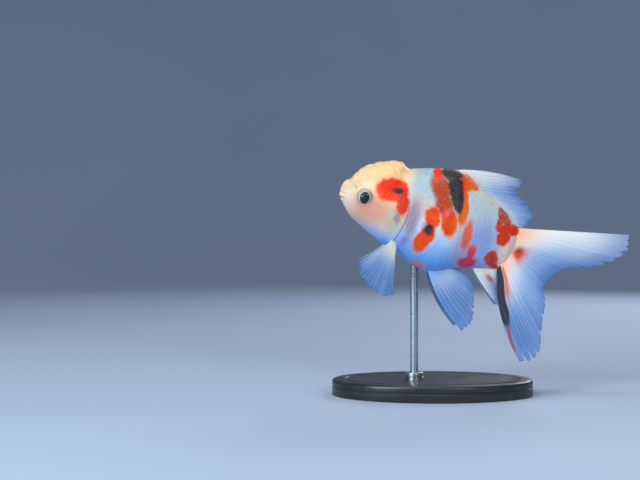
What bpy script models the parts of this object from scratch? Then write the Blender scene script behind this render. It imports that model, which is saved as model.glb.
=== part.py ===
"""A calico oranda goldfish, life size, on a plain display stand.

Metres, +Z up. The fish faces -X and its left side faces -Y. The origin is the centre of the base's underside.

The fish is built in its own frame, and one empty then pitches and lifts it. In that frame x runs from the snout
towards the tail, y from the fish's left to its right, and z from the belly to the back. Its lengths are shares of
the standard length, which is the distance from the snout to the root of the tail fin, as fish are measured.
"""

import math

import bmesh
import bpy
import numpy as np
from mathutils import Vector

# --- driving dimensions -------------------------------------------------------------------------------------

STANDARD_LENGTH = 0.0884
PITCH = math.radians(18.6)
SNOUT = Vector((-0.04475, 0.0, 0.10025))
GAP = 0.0003

# The body's outline. Each row is one cross-section: its place along the body, the heights of the back and of the
# belly, the half width, and the height at which it is widest.
BODY_SECTIONS = (
    (-0.0165, 0.016, -0.003, 0.008, 0.006),
    (-0.0130, 0.027, -0.011, 0.022, 0.006),
    (-0.004, 0.036, -0.024, 0.036, 0.005),
    (0.006, 0.045, -0.038, 0.048, 0.004),
    (0.020, 0.058, -0.054, 0.063, 0.003),
    (0.040, 0.078, -0.073, 0.083, 0.003),
    (0.070, 0.116, -0.099, 0.109, 0.003),
    (0.100, 0.167, -0.117, 0.132, 0.002),
    (0.140, 0.203, -0.134, 0.151, 0.000),
    (0.204, 0.230, -0.160, 0.174, -0.009),
    (0.278, 0.240, -0.187, 0.194, -0.020),
    (0.347, 0.265, -0.211, 0.209, -0.029),
    (0.419, 0.291, -0.233, 0.221, -0.034),
    (0.509, 0.318, -0.258, 0.227, -0.034),
    (0.575, 0.332, -0.270, 0.222, -0.027),
    (0.630, 0.324, -0.258, 0.209, -0.018),
    (0.700, 0.288, -0.218, 0.184, -0.004),
    (0.780, 0.249, -0.186, 0.150, 0.010),
    (0.854, 0.217, -0.160, 0.114, 0.017),
    (0.928, 0.181, -0.137, 0.082, 0.018),
    (0.985, 0.142, -0.110, 0.055, 0.015),
    (1.012, 0.112, -0.084, 0.034, 0.014),
    (1.020, 0.068, -0.042, 0.014, 0.013),
)
BODY_RINGS = 36
BODY_SIDES = 28
BACK_SQUARENESS = 1.95
BELLY_SQUARENESS = 2.25
RINGS_NEAR_SNOUT = 0.35

# The hood of soft growth on the head: its thickness on the midline at places along the head, and how it thins
# down the sides, by the angle from the top. The outline is the side view of what is cut as the hood's own piece.
HOOD_THICKNESS = (
    (-0.02, 0.000),
    (0.004, 0.027),
    (0.022, 0.032),
    (0.036, 0.028),
    (0.046, 0.032),
    (0.060, 0.040),
    (0.085, 0.040),
    (0.115, 0.029),
    (0.150, 0.027),
    (0.190, 0.029),
    (0.240, 0.036),
    (0.280, 0.032),
    (0.300, 0.010),
    (0.315, 0.000),
    (0.330, 0.000),
)
HOOD_FULL_TO = math.radians(38)
HOOD_ENDS_AT = math.radians(84)
HOOD_OUTLINE = (
    (-0.050, 0.022),
    (0.030, 0.046),
    (0.075, 0.066),
    (0.124, 0.074),
    (0.190, 0.074),
    (0.250, 0.092),
    (0.298, 0.150),
    (0.305, 0.400),
    (-0.050, 0.400),
)

# The gill edge ends the head. Both curves run from the throat upwards, as (height, place along).
GILL_EDGE = (
    (-0.600, 0.160),
    (-0.227, 0.318),
    (-0.172, 0.345),
    (-0.111, 0.361),
    (-0.047, 0.372),
    (0.048, 0.364),
    (0.150, 0.332),
    (0.250, 0.304),
    (0.600, 0.210),
)
GILL_COVER_FRONT = ((-0.176, 0.310), (-0.105, 0.272), (0.000, 0.256), (0.062, 0.266), (0.104, 0.290))
GILL_COVER_THICKNESS = 0.0013
GILL_RINGS = slice(11, 27)

# The cuts behind the gills are straight lines, as (place along at mid height, lean).
TRUNK_CUT = (0.640, 0.12)
STALK_CUT = (0.862, 0.10)

MOUTH_CORNER = (0.050, -0.026)
MOUTH_FRONT = (-0.100, -0.010)
JAW_HINGE_X = 0.170

EYE_RADIUS = 0.0435
EYE_CENTRE = (0.124, 0.016)
EYE_FLATNESS = 0.72
EYE_PROTRUSION = 0.020

# Each fin is a fan of rays. Its root is a line between two points, as (x, y, z). Its control rays run from the
# leading edge to the trailing edge, as (degrees below the tailward axis, length, curl in degrees along the ray,
# degrees out to the side). It ripples by so much, in so many waves, and its grid has so many rays and rows.
FIN_THICKNESS = 0.0007
DORSAL_FIN = {
    "root": ((0.490, 0.0, 0.300), (0.985, 0.0, 0.136)),
    "rays": (
        (-25, 0.456, 13, 0),
        (-19, 0.400, 6, 1),
        (-13, 0.312, 0, 2),
        (-8, 0.318, 0, 2),
        (-8, 0.276, 0, -1),
        (-10, 0.230, 0, -1),
        (-6, 0.140, 0, 0),
        (2, 0.050, 0, 0),
    ),
    "ripple": 0.006,
    "waves": 2.5,
    "grid": (15, 5),
}
TAIL_FIN = {
    "root": ((0.975, 0.014, 0.122), (0.950, 0.024, -0.090)),
    "rays": (
        (-15, 0.640, 0, 6),
        (-9, 0.632, 1, 9),
        (1, 0.510, 0, 12),
        (8, 0.352, 1, 15),
        (28, 0.308, 1, 17),
        (36, 0.382, 0, 18),
        (45, 0.460, -1, 19),
        (57, 0.590, -4, 20),
        (82, 0.580, -20, 19),
    ),
    "ripple": 0.012,
    "waves": 2.2,
    "grid": (11, 7),
}
TAIL_FORK = 0.5
TAIL_FORK_SPACE = 0.0085
# The right tail's lower lobe hangs further back, behind the left one.
RIGHT_TAIL_FIN = {**TAIL_FIN, "rays": (*TAIL_FIN["rays"][:-2], (51, 0.580, -4, 20), (73, 0.572, -20, 19))}
ANAL_FIN = {
    "root": ((0.812, 0.022, -0.152), (0.935, 0.012, -0.110)),
    "rays": ((45, 0.276, -6, 10), (41, 0.266, -4, 8), (34, 0.218, 0, 6), (26, 0.160, 0, 4)),
    "ripple": 0.004,
    "waves": 1.5,
    "grid": (7, 5),
}
PELVIC_FIN = {
    "root": ((0.570, 0.070, -0.225), (0.660, 0.045, -0.205)),
    "rays": ((63, 0.425, -18, 15), (45, 0.395, -8, 15), (30, 0.315, -2, 13), (16, 0.235, 0, 11), (2, 0.145, 0, 8)),
    "ripple": 0.006,
    "waves": 1.6,
    "grid": (9, 6),
}
PECTORAL_FIN = {
    "root": ((0.340, 0.146, -0.150), (0.366, 0.138, -0.182)),
    "rays": ((113, 0.234, 14, 24), (107, 0.294, 6, 26), (97, 0.318, 2, 27), (86, 0.326, 0, 26), (75, 0.296, 0, 24)),
    "ripple": 0.007,
    "waves": 1.5,
    "grid": (9, 6),
}

BASE_LENGTH = 0.100
BASE_WIDTH = 0.064
BASE_HEIGHT = 0.008
BASE_EDGE = 0.0015
ROD_RADIUS = 0.002
ROD_X = -0.009
ROD_TOP = 0.085
COLLAR_RADIUS = 0.0045
COLLAR_HEIGHT = 0.003


# --- curves and surfaces ------------------------------------------------------------------------------------


def smooth(rows, at):
    """The rows' other columns at the places `at` in their first column, along a curve through every row.

    It is a cubic between neighbours, with the slope at each row taken from its two neighbours."""
    rows = np.asarray(rows, float)
    x, values = rows[:, 0], rows[:, 1:]
    slopes = np.gradient(values, x, axis=0)
    at = np.clip(np.asarray(at, float), x[0], x[-1])
    i = np.clip(np.searchsorted(x, at, side="right") - 1, 0, len(x) - 2)
    step = (x[i + 1] - x[i])[..., None]
    t = (at - x[i])[..., None] / step
    rise, fall = slopes[i] * step, slopes[i + 1] * step
    from_start = values[i] * (2 * t**3 - 3 * t**2 + 1) + rise * (t**3 - 2 * t**2 + t)
    from_end = values[i + 1] * (3 * t**2 - 2 * t**3) + fall * (t**3 - t**2)
    return from_start + from_end


def hood_thickness(along, angle):
    """The hood's thickness at a place along the head and an angle from the top: the midline's, faded smoothly."""
    on_top = smooth(HOOD_THICKNESS, along)[..., 0]
    fade = np.clip((HOOD_ENDS_AT - np.abs(angle)) / (HOOD_ENDS_AT - HOOD_FULL_TO), 0, 1)
    return on_top * fade * fade * (3 - 2 * fade)


def body_points(grow=0.0, hooded=False):
    """The body's surface as a grid of points, rings by sides, in metres in the fish's frame.

    Each ring is two half ovals that meet where the body is widest, and the rings crowd towards the snout. The
    surface then moves out along its normals by `grow`, and by the hood's thickness where the body is hooded."""
    sections = np.array(BODY_SECTIONS)
    distance = np.cumsum(np.linalg.norm(np.diff(sections, axis=0, prepend=sections[:1]), axis=1))
    share = np.linspace(0, 1, BODY_RINGS)
    share = RINGS_NEAR_SNOUT * share**2 + (1 - RINGS_NEAR_SNOUT) * share
    ring = smooth(np.column_stack([distance, sections]), distance[-1] * share)
    along, back, belly, half_width, widest = (ring[:, [k]] for k in range(5))
    angle = np.linspace(-math.pi, math.pi, BODY_SIDES, endpoint=False)[None, :]
    upper = np.cos(angle) > 0
    power = 2 / np.where(upper, BACK_SQUARENESS, BELLY_SQUARENESS)
    out = half_width * np.sign(np.sin(angle)) * np.abs(np.sin(angle)) ** power
    up = widest + np.where(upper, back - widest, belly - widest) * np.abs(np.cos(angle)) ** power
    points = np.stack([along + 0 * angle, out, up], axis=-1)
    around = np.roll(points, -1, axis=1) - np.roll(points, 1, axis=1)
    normals = np.cross(np.gradient(points, axis=0), around)
    normals /= np.linalg.norm(normals, axis=-1, keepdims=True)
    if hooded:
        points = points + normals * hood_thickness(along, angle)[..., None]
    return STANDARD_LENGTH * points + normals * grow


def gill_edge(height):
    """Where the head ends, at a height."""
    return smooth(GILL_EDGE, height)[..., 0]


def fin_points(fin, across, side):
    """A fin's middle surface as a grid of points, rays by rows, in metres in the fish's frame.

    A point on a ray is its root plus a step whose length grows along the ray and whose direction turns by the
    curl. The fan leans out to its side, and ripples as the square of the distance from the root."""
    control = np.array(fin["rays"], float)
    keyed = np.column_stack([np.linspace(0, 1, len(control)), control])
    angle, length, curl, lean = (column[:, None] for column in smooth(keyed, across).T)
    angle, curl, lean = np.radians(angle), np.radians(curl), np.radians(lean)
    start, end = (np.array(point) for point in fin["root"])
    root = start + (end - start) * across[:, None]
    s = np.linspace(0, 1, fin["grid"][1])
    turned = angle + curl * s
    x = root[:, [0]] + length * s * np.cos(turned) * np.cos(lean)
    y = root[:, [1]] + length * s * np.sin(lean)
    z = root[:, [2]] - length * s * np.sin(turned) * np.cos(lean)
    y = y + fin["ripple"] * np.sin(2 * math.pi * fin["waves"] * across)[:, None] * s**2
    return STANDARD_LENGTH * np.stack([x, side * y, z], axis=-1)


# --- objects ------------------------------------------------------------------------------------------------


def clear_scene():
    for obj in list(bpy.data.objects):
        bpy.data.objects.remove(obj)


def material(name, colour, roughness, metallic=0.0):
    made = bpy.data.materials.new(name)
    made.use_nodes = True
    shader = made.node_tree.nodes["Principled BSDF"]
    shader.inputs["Base Color"].default_value = (*colour, 1.0)
    shader.inputs["Roughness"].default_value = roughness
    shader.inputs["Metallic"].default_value = metallic
    made.diffuse_color = (*colour, 1.0)
    return made


def collection(name):
    made = bpy.data.collections.new(name)
    bpy.context.scene.collection.children.link(made)
    return made


class Workshop:
    """The collections that hold the parts and the cutters, and the empty that carries the fish."""

    def __init__(self):
        self.parts = collection("goldfish")
        self.cutters = collection("cutters")
        self.fish = bpy.data.objects.new("fish_frame", None)
        self.parts.objects.link(self.fish)
        self.fish.location = SNOUT
        self.fish.rotation_euler = (0, PITCH, 0)

    def part(self, name, mesh, finish, parent=None):
        mesh.materials.append(finish)
        obj = bpy.data.objects.new(name, mesh)
        self.parts.objects.link(obj)
        obj.parent = parent
        return obj

    def cutter(self, name, mesh, parent=None):
        obj = bpy.data.objects.new(name, mesh)
        self.cutters.objects.link(obj)
        obj.parent = parent
        obj.hide_render = True
        obj.display_type = "WIRE"
        return obj


def combine(obj, other, operation):
    step = obj.modifiers.new(f"{operation.lower()} {other.name}", "BOOLEAN")
    step.operation = operation
    step.solver = "EXACT"
    step.object = other


def mesh_from(name, shape):
    """The shape as a mesh, with its faces pointing out."""
    bmesh.ops.recalc_face_normals(shape, faces=shape.faces)
    mesh = bpy.data.meshes.new(name)
    shape.to_mesh(mesh)
    shape.free()
    return mesh


def grid_faces(columns, rows, closed_rows=False):
    """The quads of a grid whose point (c, r) is number c * rows + r."""
    last = rows if closed_rows else rows - 1
    return [
        (c * rows + r, c * rows + (r + 1) % rows, (c + 1) * rows + (r + 1) % rows, (c + 1) * rows + r)
        for c in range(columns - 1)
        for r in range(last)
    ]


def body_mesh(name, grow=0.0, hooded=False, rings_kept=slice(None)):
    """The body, or some of its rings, as one closed mesh, the first and last rings each closed by a cap."""
    points = body_points(grow, hooded)[rings_kept]
    rings, sides = points.shape[:2]
    first = tuple(range(sides))
    last = tuple((rings - 1) * sides + k for k in range(sides))
    mesh = bpy.data.meshes.new(name)
    mesh.from_pydata(points.reshape(-1, 3).tolist(), [], [*grid_faces(rings, sides, True), first, last])
    shape = bmesh.new()
    shape.from_mesh(mesh)
    mesh = mesh_from(name, shape)
    mesh.shade_smooth()
    return mesh


def fin_mesh(name, fin, side, start=0.0, stop=1.0):
    """The part of a fin between two shares of its fan, as an open sheet."""
    columns, rows = fin["grid"]
    points = fin_points(fin, np.linspace(start, stop, columns), side)
    mesh = bpy.data.meshes.new(name)
    mesh.from_pydata(points.reshape(-1, 3).tolist(), [], grid_faces(columns, rows))
    mesh.shade_smooth()
    return mesh


def prism_mesh(name, outline, near=-0.5, far=0.5):
    """A side view outline of (x, z), drawn out along y, all in standard lengths."""
    shape = bmesh.new()
    corners = [shape.verts.new(STANDARD_LENGTH * Vector((x, near, z))) for x, z in outline]
    drawn = bmesh.ops.extrude_face_region(shape, geom=[shape.faces.new(corners)])
    moved = [v for v in drawn["geom"] if isinstance(v, bmesh.types.BMVert)]
    bmesh.ops.translate(shape, verts=moved, vec=(0, STANDARD_LENGTH * (far - near), 0))
    return mesh_from(name, shape)


def cylinder_mesh(name, radius, bottom, top, segments=28):
    """An upright cylinder, or with two radii an oval one, between two heights."""
    across, deep = radius if isinstance(radius, tuple) else (radius, radius)
    shape = bmesh.new()
    bmesh.ops.create_cone(shape, cap_ends=True, segments=segments, radius1=1, radius2=1, depth=top - bottom)
    bmesh.ops.scale(shape, vec=(across, deep, 1), verts=shape.verts)
    bmesh.ops.translate(shape, vec=(0, 0, (top + bottom) / 2), verts=shape.verts)
    return mesh_from(name, shape)


# --- the fish's body ----------------------------------------------------------------------------------------


def band_outline(front, rear):
    """The side view between two lines across the body, each a function of height, less half a gap at each."""
    heights = np.linspace(0.55, -0.55, 23)
    half_gap = GAP / STANDARD_LENGTH / 2
    ahead = [(front(z) + half_gap, z) for z in heights]
    behind = [(rear(z) - half_gap, z) for z in heights[::-1]]
    return ahead + behind


def build_body(shop, skin, eye):
    """The head, trunk and tail stalk: one body parted by thin cuts, then the head's own pieces."""
    lines = (
        lambda z: -0.3,
        gill_edge,
        lambda z: TRUNK_CUT[0] + TRUNK_CUT[1] * z,
        lambda z: STALK_CUT[0] + STALK_CUT[1] * z,
        lambda z: 1.3,
    )
    for k, name in enumerate(("head", "trunk_front", "trunk_rear", "tail_stalk")):
        node = shop.part(name, body_mesh(name), skin, shop.fish)
        band = prism_mesh(f"{name}_band", band_outline(lines[k], lines[k + 1]))
        combine(node, shop.cutter(f"{name}_band", band, shop.fish), "INTERSECT")

    head = bpy.data.objects["head"]
    build_jaw(shop, skin, head)
    build_gill_covers(shop, skin, head)
    build_eyes(shop, eye, head)
    build_hood(shop, skin)


def build_jaw(shop, skin, head):
    """The lower jaw, parted from the head along the mouth and down behind the chin."""
    gap = GAP / STANDARD_LENGTH
    (front_x, front_z), (corner_x, corner_z) = MOUTH_FRONT, MOUTH_CORNER
    below = -0.3

    def outline(grow):
        return (
            (front_x, front_z + grow),
            (corner_x + grow, corner_z + grow),
            (JAW_HINGE_X + grow, below),
            (front_x, below),
        )

    space = shop.cutter("jaw_space", prism_mesh("jaw_space", outline(gap)), shop.fish)
    combine(head, space, "DIFFERENCE")
    jaw = shop.part("lower_jaw", body_mesh("lower_jaw"), skin, shop.fish)
    combine(jaw, shop.cutter("jaw_outline", prism_mesh("jaw_outline", outline(0.0)), shop.fish), "INTERSECT")


def build_gill_covers(shop, skin, head):
    """The two plates over the gills, each a shell let into the side of the head."""
    gap = GAP / STANDARD_LENGTH
    heights = np.linspace(GILL_COVER_FRONT[0][0], GILL_COVER_FRONT[-1][0], 9)
    front = smooth(GILL_COVER_FRONT, heights)[:, 0]
    rear = gill_edge(heights) - gap / 2
    plate = [*zip(front, heights), *zip(rear[::-1], heights[::-1])]
    low, high, behind = heights[0] - gap, heights[-1] + gap, rear.max() + 0.05
    pocket = [(front[0] - gap, low), *zip(front - gap, heights), (front[-1] - gap, high)]
    pocket += [(behind, high), (behind, low)]

    inside = {}
    for name, depth in (("gill_bed", GILL_COVER_THICKNESS + GAP), ("gill_cover_inside", GILL_COVER_THICKNESS)):
        inside[name] = shop.cutter(name, body_mesh(name, -depth, rings_kept=GILL_RINGS), shop.fish)
    for side, sign in (("left", -1), ("right", 1)):
        near, far = sorted((0.02 * sign, 0.5 * sign))
        space = shop.cutter(f"gill_space_{side}", prism_mesh("gill_space", pocket, near, far), shop.fish)
        combine(space, inside["gill_bed"], "DIFFERENCE")
        combine(head, space, "DIFFERENCE")
        cover = shop.part(f"gill_cover_{side}", body_mesh("gill_cover"), skin, shop.fish)
        outline = shop.cutter(f"gill_outline_{side}", prism_mesh("gill_outline", plate, near, far), shop.fish)
        combine(cover, outline, "INTERSECT")
        combine(cover, inside["gill_cover_inside"], "DIFFERENCE")


def build_hood(shop, skin):
    """The soft growth that covers the top of the head, as a cap that fits over it."""
    hood = shop.part("hood", body_mesh("hood", hooded=True), skin, shop.fish)
    outline = shop.cutter("hood_outline", prism_mesh("hood_outline", HOOD_OUTLINE), shop.fish)
    combine(hood, outline, "INTERSECT")
    combine(hood, bpy.data.objects["body_bed"], "DIFFERENCE")


def ball_mesh(name, grow):
    """An eyeball: a sphere flattened along its axis, then grown by the same amount all round."""
    radius = STANDARD_LENGTH * EYE_RADIUS
    shape = bmesh.new()
    bmesh.ops.create_uvsphere(shape, u_segments=16, v_segments=8, radius=1)
    wide, deep = radius + grow, radius * EYE_FLATNESS + grow
    bmesh.ops.scale(shape, vec=(wide, wide, deep), verts=shape.verts)
    mesh = mesh_from(name, shape)
    mesh.shade_smooth()
    return mesh


def build_eyes(shop, finish, head):
    """Two flattened balls let into the sides of the head, which stand a little out of it."""
    sections = np.array(BODY_SECTIONS)
    x, z = EYE_CENTRE
    half_width = np.interp(x, sections[:, 0], sections[:, 3])
    out = half_width + EYE_PROTRUSION - EYE_RADIUS * EYE_FLATNESS
    for side, sign in (("left", -1), ("right", 1)):
        ball = shop.part(f"eye_{side}", ball_mesh("eye", 0.0), finish, shop.fish)
        socket = shop.cutter(f"eye_socket_{side}", ball_mesh("eye_socket", GAP), shop.fish)
        for obj in (ball, socket):
            obj.location = STANDARD_LENGTH * Vector((x, sign * out, z))
            obj.rotation_euler = (math.radians(90), 0, 0)
        combine(head, socket, "DIFFERENCE")


# --- fins and stand -----------------------------------------------------------------------------------------


def build_fin(shop, finish, name, fin, side, start=0.0, stop=1.0):
    """A fin as a thin plate that stops just short of the body."""
    obj = shop.part(name, fin_mesh(name, fin, side, start, stop), finish, shop.fish)
    plate = obj.modifiers.new("plate", "SOLIDIFY")
    plate.thickness = FIN_THICKNESS
    plate.offset = 0
    combine(obj, bpy.data.objects["body_bed"], "DIFFERENCE")


def build_fins(shop, finish):
    """One dorsal fin, and on each side a tail fin in two lobes, an anal, a pelvic and a pectoral fin."""
    build_fin(shop, finish, "dorsal_fin", DORSAL_FIN, 1)
    upper_stop, lower_start = TAIL_FORK - TAIL_FORK_SPACE, TAIL_FORK + TAIL_FORK_SPACE
    for side, sign, tail_fin in (("left", -1, TAIL_FIN), ("right", 1, RIGHT_TAIL_FIN)):
        build_fin(shop, finish, f"tail_fin_upper_{side}", tail_fin, sign, 0.0, upper_stop)
        build_fin(shop, finish, f"tail_fin_lower_{side}", tail_fin, sign, lower_start, 1.0)
        build_fin(shop, finish, f"anal_fin_{side}", ANAL_FIN, sign)
        build_fin(shop, finish, f"pelvic_fin_{side}", PELVIC_FIN, sign)
        build_fin(shop, finish, f"pectoral_fin_{side}", PECTORAL_FIN, sign)


def build_stand(shop, painted, steel):
    """An oval base with a rounded edge, and one rod in a collar that meets the belly."""
    size = (BASE_LENGTH / 2, BASE_WIDTH / 2)
    base = shop.part("stand_base", cylinder_mesh("stand_base", size, 0.0, BASE_HEIGHT, 44), painted)
    edge = base.modifiers.new("rounded edge", "BEVEL")
    edge.width = BASE_EDGE
    edge.segments = 2
    edge.limit_method = "ANGLE"

    foot = BASE_HEIGHT + GAP
    rod = shop.part("stand_rod", cylinder_mesh("stand_rod", ROD_RADIUS, foot, ROD_TOP), steel)
    combine(rod, bpy.data.objects["body_bed"], "DIFFERENCE")
    collar_mesh = cylinder_mesh("stand_collar", COLLAR_RADIUS, foot, foot + COLLAR_HEIGHT)
    collar = shop.part("stand_collar", collar_mesh, steel)
    bore_mesh = cylinder_mesh("collar_bore", ROD_RADIUS + GAP, 0.0, BASE_HEIGHT + 2 * COLLAR_HEIGHT)
    bore = shop.cutter("collar_bore", bore_mesh)
    combine(collar, bore, "DIFFERENCE")
    for obj in (rod, collar, bore):
        obj.location.x = ROD_X


def build_goldfish():
    clear_scene()
    shop = Workshop()
    shop.cutter("body_bed", body_mesh("body_bed", GAP), shop.fish)
    build_body(shop, material("skin", (0.86, 0.84, 0.80), 0.35), material("eye", (0.05, 0.05, 0.06), 0.1))
    build_fins(shop, material("fin", (0.80, 0.84, 0.90), 0.4))
    build_stand(shop, material("stand_paint", (0.03, 0.03, 0.035), 0.45), material("steel", (0.62, 0.62, 0.64), 0.3, 1.0))


build_goldfish()
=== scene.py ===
"""A calico oranda goldfish, life size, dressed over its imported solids: skin, scales, fins, eyes and stand.

The fish is worked out in its own frame, in shares of its standard length, as its solids are: x runs from the
snout to the tail, y from its left to its right, z from the belly to the back. `placed` tips and lifts it.
"""

import collections
import itertools
import math

import bpy
import mathutils
import numpy as np
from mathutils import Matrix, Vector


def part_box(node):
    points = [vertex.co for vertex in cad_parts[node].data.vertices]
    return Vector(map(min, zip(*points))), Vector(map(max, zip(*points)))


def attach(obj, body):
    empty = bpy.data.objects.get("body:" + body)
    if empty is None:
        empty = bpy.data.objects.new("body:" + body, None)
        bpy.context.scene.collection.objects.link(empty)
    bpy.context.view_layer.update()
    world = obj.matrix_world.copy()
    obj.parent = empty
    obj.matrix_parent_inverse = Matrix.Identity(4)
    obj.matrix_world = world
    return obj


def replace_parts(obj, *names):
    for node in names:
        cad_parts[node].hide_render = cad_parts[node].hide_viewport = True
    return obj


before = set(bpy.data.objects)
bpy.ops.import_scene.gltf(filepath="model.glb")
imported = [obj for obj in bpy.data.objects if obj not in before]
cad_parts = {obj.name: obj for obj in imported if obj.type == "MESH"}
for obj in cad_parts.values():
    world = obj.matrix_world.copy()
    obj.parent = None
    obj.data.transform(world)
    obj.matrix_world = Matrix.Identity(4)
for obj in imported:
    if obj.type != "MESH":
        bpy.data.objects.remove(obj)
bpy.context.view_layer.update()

TURN = 2 * math.pi

# --- the solids' driving dimensions ---

STANDARD_LENGTH = 0.0884
PITCH = math.radians(18.6)
SNOUT = (-0.04475, 0.0, 0.10025)

# Each row is one cross-section: its place along the body, the heights of the back and of the belly, the half
# width, and the height at which it is widest.
BODY_SECTIONS = (
    (-0.0165, 0.016, -0.003, 0.008, 0.006),
    (-0.0130, 0.027, -0.011, 0.022, 0.006),
    (-0.004, 0.036, -0.024, 0.036, 0.005),
    (0.006, 0.045, -0.038, 0.048, 0.004),
    (0.020, 0.058, -0.054, 0.063, 0.003),
    (0.040, 0.078, -0.073, 0.083, 0.003),
    (0.070, 0.116, -0.099, 0.109, 0.003),
    (0.100, 0.167, -0.117, 0.132, 0.002),
    (0.140, 0.203, -0.134, 0.151, 0.000),
    (0.204, 0.230, -0.160, 0.174, -0.009),
    (0.278, 0.240, -0.187, 0.194, -0.020),
    (0.347, 0.265, -0.211, 0.209, -0.029),
    (0.419, 0.291, -0.233, 0.221, -0.034),
    (0.509, 0.318, -0.258, 0.227, -0.034),
    (0.575, 0.332, -0.270, 0.222, -0.027),
    (0.630, 0.324, -0.258, 0.209, -0.018),
    (0.700, 0.288, -0.218, 0.184, -0.004),
    (0.780, 0.249, -0.186, 0.150, 0.010),
    (0.854, 0.217, -0.160, 0.114, 0.017),
    (0.928, 0.181, -0.137, 0.082, 0.018),
    (0.985, 0.142, -0.110, 0.055, 0.015),
    (1.012, 0.112, -0.084, 0.034, 0.014),
    (1.020, 0.068, -0.042, 0.014, 0.013),
)
BACK_SQUARENESS = 1.95
BELLY_SQUARENESS = 2.25

# The hood's thickness on the midline, how it thins down the sides, and the height of its lower border.
HOOD_THICKNESS = (
    (-0.02, 0.000), (0.004, 0.027), (0.022, 0.032), (0.036, 0.028), (0.046, 0.032), (0.060, 0.040),
    (0.085, 0.040), (0.115, 0.029), (0.150, 0.027), (0.190, 0.029), (0.240, 0.036), (0.280, 0.032),
    (0.300, 0.010), (0.315, 0.000), (0.330, 0.000),
)
HOOD_FULL_TO = math.radians(38)
HOOD_ENDS_AT = math.radians(84)
HOOD_BORDER = (
    (-0.05, 0.000), (-0.012, 0.010), (0.004, 0.020), (0.030, 0.038), (0.075, 0.058), (0.124, 0.070),
    (0.190, 0.072), (0.250, 0.090), (0.310, 0.160),
)

# The gill edge, from the throat upwards, as (height, place along).
GILL_EDGE = (
    (-0.600, 0.160), (-0.227, 0.318), (-0.172, 0.345), (-0.111, 0.361), (-0.047, 0.372), (0.048, 0.364),
    (0.150, 0.332), (0.250, 0.304), (0.600, 0.210),
)
MOUTH_CORNER = (0.030, -0.026)
MOUTH_FRONT = (-0.100, -0.010)
EYE_RADIUS = 0.0435
EYE_CENTRE = (0.124, 0.016)
EYE_FLATNESS = 0.72
EYE_PROTRUSION = 0.020

# Each fin is a fan of rays. Its root is a line between two points, as (x, y, z). Its control rays run from
# the front edge to the rear one, as (degrees below the tailward axis, length, curl in degrees along the ray,
# degrees out to the side). Then come its ripples' height and number, the count of its rays, the rows along
# them, the flesh over its root as (thickness, reach), the depth of the notches between ray tips and of the
# splits in its edge, and how pale its front is.
Fin = collections.namedtuple("Fin", "root rays ripple waves count rows flesh notch split pale")

DORSAL_FIN = Fin(
    root=((0.490, 0.0, 0.300), (0.985, 0.0, 0.136)),
    rays=(
        (-25, 0.456, 13, 0), (-19, 0.400, 6, 1), (-13, 0.312, 0, 2), (-8, 0.318, 0, 2),
        (-8, 0.276, 0, -1), (-10, 0.230, 0, -1), (-6, 0.140, 0, 0), (2, 0.050, 0, 0),
    ),
    ripple=0.006, waves=2.5, count=19, rows=60, flesh=(0.0090, 0.030), notch=0.02, split=0.26, pale=1.0,
)
TAIL_FIN = Fin(
    root=((0.975, 0.014, 0.122), (0.950, 0.024, -0.090)),
    rays=(
        (-15, 0.640, 0, 6), (-9, 0.632, 1, 9), (1, 0.510, 0, 12), (8, 0.352, 1, 15), (28, 0.308, 1, 17),
        (36, 0.382, 0, 18), (45, 0.460, -1, 19), (57, 0.590, -4, 20), (82, 0.580, -20, 19),
    ),
    ripple=0.012, waves=2.2, count=24, rows=84, flesh=(0.0075, 0.060), notch=0.008, split=0.07, pale=1.0,
)
# The right tail's lower lobe hangs further back, behind the left one.
RIGHT_TAIL_FIN = TAIL_FIN._replace(rays=(*TAIL_FIN.rays[:-2], (51, 0.580, -4, 20), (73, 0.572, -20, 19)))
ANAL_FIN = Fin(
    root=((0.812, 0.022, -0.152), (0.935, 0.012, -0.110)),
    rays=((45, 0.276, -6, 10), (41, 0.266, -4, 8), (34, 0.218, 0, 6), (26, 0.160, 0, 4)),
    ripple=0.004, waves=1.5, count=8, rows=40, flesh=(0.0055, 0.035), notch=0.012, split=0.08, pale=0.7,
)
PELVIC_FIN = Fin(
    root=((0.570, 0.070, -0.225), (0.660, 0.045, -0.205)),
    rays=(
        (63, 0.425, -18, 15), (45, 0.395, -8, 15), (30, 0.315, -2, 13), (16, 0.235, 0, 11), (2, 0.145, 0, 8),
    ),
    ripple=0.006, waves=1.6, count=12, rows=52, flesh=(0.0065, 0.040), notch=0.012, split=0.12, pale=0.0,
)
PECTORAL_FIN = Fin(
    root=((0.340, 0.146, -0.150), (0.366, 0.138, -0.182)),
    rays=(
        (113, 0.234, 14, 24), (107, 0.294, 6, 26), (97, 0.318, 2, 27), (86, 0.326, 0, 26), (75, 0.296, 0, 24),
    ),
    ripple=0.007, waves=1.5, count=16, rows=48, flesh=(0.0070, 0.045), notch=0.008, split=0.06, pale=0.3,
)


# --- the dress's own dimensions, in standard lengths unless a name says otherwise ---

HEAD_RINGS = 216
TRUNK_RINGS = 160
BODY_SIDES = 256
HEAD_RINGS_END_AT = 0.43
SKIN_DEPTH_ON_HEAD = 0.0005
SKIN_DEPTH_UNDER_SCALES = 0.0013

LOBE_SIZE = 0.052
LOBE_HEIGHT = 0.0048
GRAIN_SIZE = 0.0115
GRAIN_HEIGHT = 0.0013

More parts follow.
